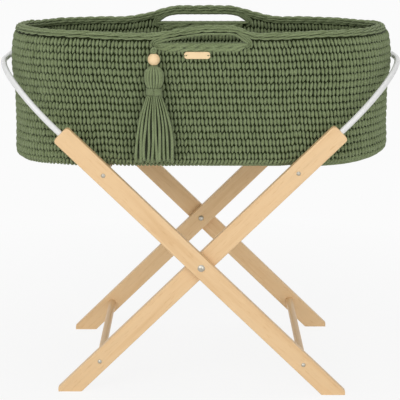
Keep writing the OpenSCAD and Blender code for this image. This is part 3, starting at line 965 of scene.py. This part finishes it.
# Shares of the way down from the head's top to the skirt's end, and of the skirt's width and depth there
CORE_DOWN = (0, 0.10, 0.20, 0.30, 0.36, 0.60, 1.0)
CORE_WIDE = (0.10, 0.26, 0.30, 0.20, 0.20, 0.52, 0.74)
CORE_DEEP = (0.16, 0.48, 0.56, 0.42, 0.42, 0.48, 0.52)
# How far the core ends from the head's top and from the skirt's end, and its cords' radius at each
CORE_FROM_TOP = 0.002
CORE_FROM_END = 0.008
CORE_TOP_R = 0.002
CORE_END_R = 0.005
# Skirt: its share of the binding's width at the neck, and how far its cords go up into the binding
SKIRT_NECK = 0.74
SKIRT_IN_BINDING = 0.004
# How far the cords' middles lie in from the skirt's depth, how far they wave, how unevenly they end
SKIRT_INSET = 0.003
SKIRT_WAVE = 0.0015
SKIRT_UNEVEN = 0.005


def cord_ring(pile, count, wide, deep, z, radius, sway=0):
    """Cords side by side round the tassel, at half widths and half depths that change along them."""
    for k in range(count):
        a = 2 * np.pi * (k + 0.5) / count
        out = 1 + sway * math.sin(5 * a)
        x = TASSEL_X + wide * out * math.cos(a)
        y = TASSEL_Y + deep * out * math.sin(a)
        tube(pile, line_up(x, y, z), radius)


def tassel_head():
    """Looped cords that swell from the bead and draw in at the neck."""
    pile = Pile()
    half_w, half_d, _ = (HEAD_HIGH - HEAD_LOW) / 2
    drop = HEAD_HIGH[2] - WRAP_HIGH[2]
    t = np.linspace(0, HEAD_DOWN[-1], 26)
    wide = np.interp(t, HEAD_DOWN, HEAD_WIDE)
    wide = np.convolve(np.pad(wide, 1, mode="edge"), [0.25, 0.5, 0.25], "valid")
    radius = HEAD_CORD_R * np.clip(wide / 0.8, 0.45, 1)
    z = HEAD_HIGH[2] - t * drop
    cord_ring(pile, HEAD_CORDS, half_w * wide, half_d * wide, z, radius, HEAD_SWAY)
    return pile.build("tassel_loops", yarn)


def tassel_core():
    """Cords of painted shade inside the head and the skirt: the dark seen between their strands."""
    pile = Pile()
    half_w, half_d, _ = (SKIRT_HIGH - SKIRT_LOW) / 2
    t = np.linspace(0, 1, 24)
    z = np.linspace(HEAD_HIGH[2] - CORE_FROM_TOP, SKIRT_LOW[2] + CORE_FROM_END, len(t))
    radius = np.linspace(CORE_TOP_R, CORE_END_R, len(t))
    wide = half_w * np.interp(t, CORE_DOWN, CORE_WIDE)
    deep = half_d * np.interp(t, CORE_DOWN, CORE_DEEP)
    cord_ring(pile, CORE_CORDS, wide, deep, z, radius)
    return pile.build("tassel_core", yarn_painted_shade)


def tassel_wrap():
    """One cord wound round the neck."""
    pile = Pile()
    turns = np.linspace(0, 2 * np.pi * WRAP_TURNS, 40 * WRAP_TURNS)
    half_w, half_d, _ = (WRAP_HIGH - WRAP_LOW) / 2
    x = TASSEL_X + (half_w - WRAP_R) * np.cos(turns)
    y = TASSEL_Y + (half_d - WRAP_R) * np.sin(turns)
    z = np.linspace(WRAP_HIGH[2] - WRAP_R, WRAP_LOW[2] + WRAP_R, len(turns))
    tube(pile, line_up(x, y, z), WRAP_R)
    return pile.build("tassel_binding", yarn)


def tassel_skirt():
    """Cords that hang from the neck side by side, in front and behind, and end unevenly."""
    pile = Pile()
    half_w = (SKIRT_HIGH[0] - SKIRT_LOW[0]) / 2
    half_d = (SKIRT_HIGH[1] - SKIRT_LOW[1]) / 2 - SKIRT_INSET
    neck_w = SKIRT_NECK * (WRAP_HIGH[0] - WRAP_LOW[0]) / 2
    top_z = SKIRT_HIGH[2] + SKIRT_IN_BINDING
    length = top_z - SKIRT_LOW[2]
    t = np.linspace(0, 1, 18)
    spread = 1 - (1 - t) ** 2.4
    wide = neck_w + (half_w - neck_w) * spread
    for face in (-1, 1):
        for k in range(SKIRT_CORDS):
            u = (2 * k + 1) / SKIRT_CORDS - 1 + rng.uniform(-0.25, 0.25) / SKIRT_CORDS
            radius = wide / SKIRT_CORDS * rng.uniform(0.60, 0.80)
            deep = face * math.sqrt(1 - u * u) * half_d * (0.72 + 0.28 * spread)
            wave = SKIRT_WAVE * np.sin(2 * np.pi * (rng.uniform(0.6, 1.4) * t + rng.uniform())) * t
            x = TASSEL_X + np.clip(u * wide + wave, -half_w, half_w)
            z = top_z - t * (length - rng.uniform(0, SKIRT_UNEVEN))
            tube(pile, line_up(x, TASSEL_Y + deep, z), radius)
    return pile.build("tassel_strands", yarn)


def tassel_cord():
    """The eye round the peg and the stem through the bead."""
    pile = Pile()
    turns = np.linspace(-np.pi / 2, 1.5 * np.pi, 40)
    tube(pile, line_up(TASSEL_X + EYE_R * np.cos(turns), TASSEL_Y, PEG_Z + EYE_R * np.sin(turns)), CORD_R)
    stem_z = np.linspace(PEG_Z - EYE_R, HEAD_HIGH[2] + 0.0002, 12)
    tube(pile, line_up(TASSEL_X, TASSEL_Y, stem_z), CORD_R)
    return pile.build("tassel_stem", yarn)


def tassel_peg():
    """The cord end that comes out of the wall, knotted at its tip."""
    pile = Pile()
    t = np.linspace(0, 1, 16)
    y = np.linspace(PEG_HIGH[1], PEG_LOW[1], len(t))
    radius = CORD_R * (1 + 0.35 * np.exp(-(((t - 0.93) / 0.06) ** 2)))
    radius[-1] *= 0.6
    tube(pile, line_up(TASSEL_X, y, PEG_Z), radius)
    return pile.build("tassel_cord_end", yarn)


def tassel_bead():
    """A turned bead with a rounded mouth at each end of its bore."""
    radius, _, half_h = (BEAD_HIGH - BEAD_LOW) / 2
    lip_r = BEAD_BORE_R + 0.0004
    lip_z = half_h - 0.0005
    mouth = math.acos(half_h / radius)
    polar = np.linspace(mouth, np.pi - mouth, 22)
    upper_r = [BEAD_BORE_R, BEAD_BORE_R, lip_r]
    upper_z = [0, lip_z, half_h]
    lower_z = [-half_h, -lip_z, 0]
    r = np.concatenate([upper_r, radius * np.sin(polar), upper_r[::-1]])[:, None]
    z = np.concatenate([upper_z, radius * np.cos(polar), lower_z])[:, None]
    turn = round_turn(BEAD_SIDES)
    points = line_up(TASSEL_X + r * np.cos(turn), TASSEL_Y + r * np.sin(turn), BEAD_Z + z)
    pile = Pile()
    pile.add(points, ring_walls(len(r), BEAD_SIDES), np.zeros((len(r) * BEAD_SIDES, 2)))
    return pile.build("wooden_bead", maple)


place(tassel_head(), "tassel", "crochet_yarn", "tassel_head")
place(tassel_wrap(), "tassel", "crochet_yarn", "tassel_wrap")
place(tassel_skirt(), "tassel", "crochet_yarn", "tassel_skirt")
place(tassel_core(), "tassel", "crochet_yarn")
place(tassel_cord(), "tassel", "crochet_yarn", "tassel_cord")
place(tassel_bead(), "tassel", "pale_wood", "tassel_bead")
place(tassel_peg(), "basket", "crochet_yarn", "tassel_peg")


# Straps

# Places across a strap and through it, round its section with thin edges, as shares of its half sizes
STRAP_ACROSS = np.array([-1, -0.97, -0.5, 0, 0.5, 0.97, 1, 0.97, 0.5, 0, -0.5, -0.97])
STRAP_THROUGH = np.array([0, 1, 1, 1, 1, 1, 0, -1, -1, -1, -1, -1])
# What keeps the faces of hem and strap apart
STRAP_APART = 0.00002
# Seams: how far in from the dowels each lies, its stitches' number, length and bow, and their thread
SEAM_INSETS = (0.0185, 0.0245, 0.0485, 0.0545)
SEAM_STITCHES = 9
SEAM_STITCH_L = 0.0030
SEAM_BOW = 0.0003
THREAD_R = 0.0004
THREAD_PROUD = 0.0001


def strap_path(reach):
    """The middle of a strap from hem to hem, in X and in height over the dowels."""
    turn = np.radians(np.linspace(90, -150, 40))
    loop = line_up(reach + LOOP_R * np.cos(turn), LOOP_R * np.sin(turn))
    tail = [[reach - 0.0135, 0.0030], [reach - 0.0185, HEM_Z - 0.0006], [reach - 0.022, HEM_Z]]
    hem = line_up(np.linspace(reach - 0.024, reach - DOWEL_R - STRAP_HEM, 14), HEM_Z)
    half = np.concatenate([loop, tail, hem])
    span = line_up(np.linspace(-reach, reach, 60)[1:-1], LOOP_R)
    return np.concatenate([(half * [-1, 1])[::-1], span, half])


def strap_cloth(name, reach, axle_z, middle_y, half_w):
    """Webbing that loops round both upper dowels."""
    path = strap_path(reach)
    steps = np.gradient(path, axis=0)
    tangent = unit(steps)
    normal = line_up(-tangent[:, 1], tangent[:, 0])
    thick = STRAP_THROUGH * (STRAP_T / 2 - STRAP_APART)
    xz = path[:, None] + normal[:, None] * thick[None, :, None]
    points = line_up(xz[..., 0], middle_y + STRAP_ACROSS * half_w, xz[..., 1] + axle_z)
    way = np.cumsum(np.linalg.norm(steps, axis=1)) / STITCH
    places = line_up(way[:, None], STRAP_ACROSS)
    pile = Pile()
    pile.add(points, ring_quads(len(path), len(STRAP_ACROSS)), places)
    return pile.build(name, webbing)


def strap_sewing(name, reach, axle_z, middle_y, half_w):
    """Rows of stitches across both hems."""
    pile = Pile()
    t = np.linspace(0, 1, 5)
    z = axle_z + HEM_Z - STRAP_T / 2 - THREAD_PROUD - SEAM_BOW * np.sin(np.pi * t)
    for side in (-1, 1):
        for inset in SEAM_INSETS:
            x = side * (reach - inset)
            for k in range(SEAM_STITCHES):
                y = middle_y + half_w * (-0.86 + 0.195 * k) + SEAM_STITCH_L * t
                tube(pile, line_up(x, y, z), THREAD_R, 6)
    return pile.build(name, thread)


def strap(node_name):
    """A strap with its sewing, between the upper dowels of both frames."""
    low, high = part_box(node_name)
    reach = high[0] - LOOP_OUTER_R
    axle_z = high[2] - LOOP_OUTER_R
    across = ((low[1] + high[1]) / 2, (high[1] - low[1]) / 2)
    cloth = strap_cloth("webbing_" + node_name, reach, axle_z, *across)
    sewing = strap_sewing("sewing_" + node_name, reach, axle_z, *across)
    for obj in (cloth, sewing):
        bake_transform(obj)
    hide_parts(node_name)


strap("strap_front")
strap("strap_back")


# Studio

BACKGROUND = {"Color": (*WHITE, 1), "Strength": 0.965}
SOFT_LIGHT = {"Color": (*WHITE, 1), "Strength": 0.52}
LIGHT_SIDE = 2.0
FLOOR_HALF = 8
FLOOR_DROP = 0.0005
# Distances from the middle between which the floor fades out, and its share of white there
FLOOR_FADE = {"From Min": 0.5, "From Max": 1.3, "To Min": 0.90, "To Max": 1.0}
# Side of the picture and focal length in pixels, and the sensor's width in millimetres
PICTURE_SIDE = 400
FOCAL_LENGTH = 1318.8
SENSOR_W = 36
CAMERA_AT = (-0.0025, -2.7802, 1.0129)
CAMERA_DIP = 0.231


def whiteness(tree):
    """1 where the camera, gloss or glass looks at the surface, and 0 for light that bounces."""
    path = add_node(tree, "ShaderNodeLightPath")
    mirrored = add_node(tree, "ShaderNodeMath", operation="MAXIMUM")
    join(tree, path, "Is Glossy Ray", mirrored, 0)
    join(tree, path, "Is Transmission Ray", mirrored, 1)
    seen = add_node(tree, "ShaderNodeMath", operation="MAXIMUM")
    join(tree, path, "Is Camera Ray", seen, 0)
    join(tree, mirrored, "Value", seen, 1)
    return seen


def floor_material():
    """White that keeps a soft shadow near the object and fades into the background."""
    material, tree, bsdf = new_material("pale_floor")
    set_values(bsdf, {"Base Color": (0.93, 0.93, 0.93, 1), "Roughness": 0.9})
    where = add_node(tree, "ShaderNodeTexCoord")
    away = add_node(tree, "ShaderNodeVectorMath", operation="LENGTH")
    join(tree, where, "Object", away, 0)
    fade = add_node(tree, "ShaderNodeMapRange", FLOOR_FADE)
    join(tree, away, "Value", fade, "Value")
    share = add_node(tree, "ShaderNodeMath", operation="MULTIPLY")
    join(tree, fade, "Result", share, 0)
    join(tree, whiteness(tree), "Value", share, 1)
    white = add_node(tree, "ShaderNodeEmission", BACKGROUND)
    both = add_node(tree, "ShaderNodeMixShader")
    join(tree, share, "Value", both, "Fac")
    join(tree, bsdf, "BSDF", both, 1)
    join(tree, white, "Emission", both, 2)
    join(tree, both, "Shader", tree.nodes["Material Output"], "Surface")
    return material


def studio_floor():
    """A wide floor under the feet."""
    corners = [(-1, -1), (1, -1), (1, 1), (-1, 1)]
    mesh = bpy.data.meshes.new("floor")
    mesh.from_pydata([(FLOOR_HALF * x, FLOOR_HALF * y, 0) for x, y in corners], [], [(0, 1, 2, 3)])
    mesh.materials.append(floor_material())
    obj = link("floor", mesh)
    obj.location.z = -FLOOR_DROP


def area_light(name, location, target, power):
    """A square soft light that looks at its target."""
    data = bpy.data.lights.new(name, "AREA")
    data.size = LIGHT_SIDE
    data.energy = power
    obj = link(name, data)
    obj.location = location
    aim = Vector(target) - obj.location
    obj.rotation_euler = aim.to_track_quat("-Z", "Y").to_euler()


def studio_world():
    """A soft light from all round, behind a white background."""
    world = bpy.data.worlds.new("studio")
    world.use_nodes = True
    tree = world.node_tree
    soft = tree.nodes["Background"]
    set_values(soft, SOFT_LIGHT)
    white = add_node(tree, "ShaderNodeBackground", BACKGROUND)
    both = add_node(tree, "ShaderNodeMixShader")
    join(tree, whiteness(tree), "Value", both, "Fac")
    join(tree, soft, "Background", both, 1)
    join(tree, white, "Background", both, 2)
    join(tree, both, "Shader", tree.nodes["World Output"], "Surface")
    bpy.context.scene.world = world


def studio_camera():
    """A camera in front of the stand that looks a little down."""
    data = bpy.data.cameras.new("camera")
    data.sensor_width = SENSOR_W
    data.lens = FOCAL_LENGTH / PICTURE_SIDE * SENSOR_W
    obj = link("camera", data)
    obj.location = CAMERA_AT
    obj.rotation_euler = (math.pi / 2 - CAMERA_DIP, 0, 0)
    bpy.context.scene.camera = obj


studio_floor()
area_light("key", (-1.6, -2.6, 2.0), (0, 0, 0.45), power=37)
area_light("fill", (1.4, -3.0, 0.9), (0, 0, 0.4), power=25)
area_light("top", (0.2, 0.3, 3.0), (0, 0, 0.6), power=12)
studio_world()
studio_camera()
bpy.context.scene.view_settings.view_transform = "Standard"
